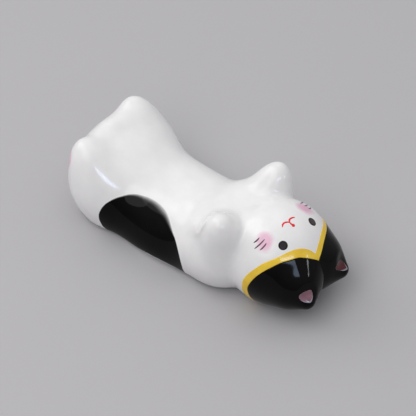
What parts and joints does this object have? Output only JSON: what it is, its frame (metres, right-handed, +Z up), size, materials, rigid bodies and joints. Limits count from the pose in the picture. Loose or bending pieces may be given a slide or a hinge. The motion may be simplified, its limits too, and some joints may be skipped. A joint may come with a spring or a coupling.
{
  "type": "chopstick rest",
  "caption": "Small glazed porcelain rest in the form of a cat lying on its back, with a hollow belly across which chopsticks lie.",
  "frame": {"origin": "middle of the overall box at the flat underside", "axes": "+X along the body toward the cat's crown and ears, +Z up from the table through the belly"},
  "size_m": [0.0598, 0.0252, 0.0199],
  "materials": {
    "porcelain": "clear gloss glaze over white porcelain",
    "black_glaze": "glossy black glaze",
    "yellow_glaze": "glossy yellow glaze",
    "dark_pink_glaze": "glossy dusty pink over the dark ear",
    "charcoal_glaze": "glossy charcoal enamel",
    "red_line": "painted line under gloss",
    "pink_wash": "soft-edged wash under gloss",
    "brown_line": "painted line under gloss"
  },
  "bodies": {
    "root": {"torso": "porcelain", "head": "porcelain", "left_ear": "black_glaze", "right_ear": "black_glaze", "left_forepaw": "porcelain", "right_forepaw": "porcelain", "left_hind_leg": "porcelain", "right_hind_leg": "porcelain", "black_hood": "black_glaze", "yellow_band": "yellow_glaze", "flank_patch": "black_glaze", "left_ear_lining": "dark_pink_glaze", "right_ear_lining": "dark_pink_glaze", "left_eye": "charcoal_glaze", "right_eye": "charcoal_glaze", "nose": "red_line", "mouth": "red_line", "left_blush": "pink_wash", "right_blush": "pink_wash", "left_whiskers": "brown_line", "right_whiskers": "brown_line", "left_sole_pad": "pink_wash", "right_sole_pad": "pink_wash"}
  },
  "joints": []
}
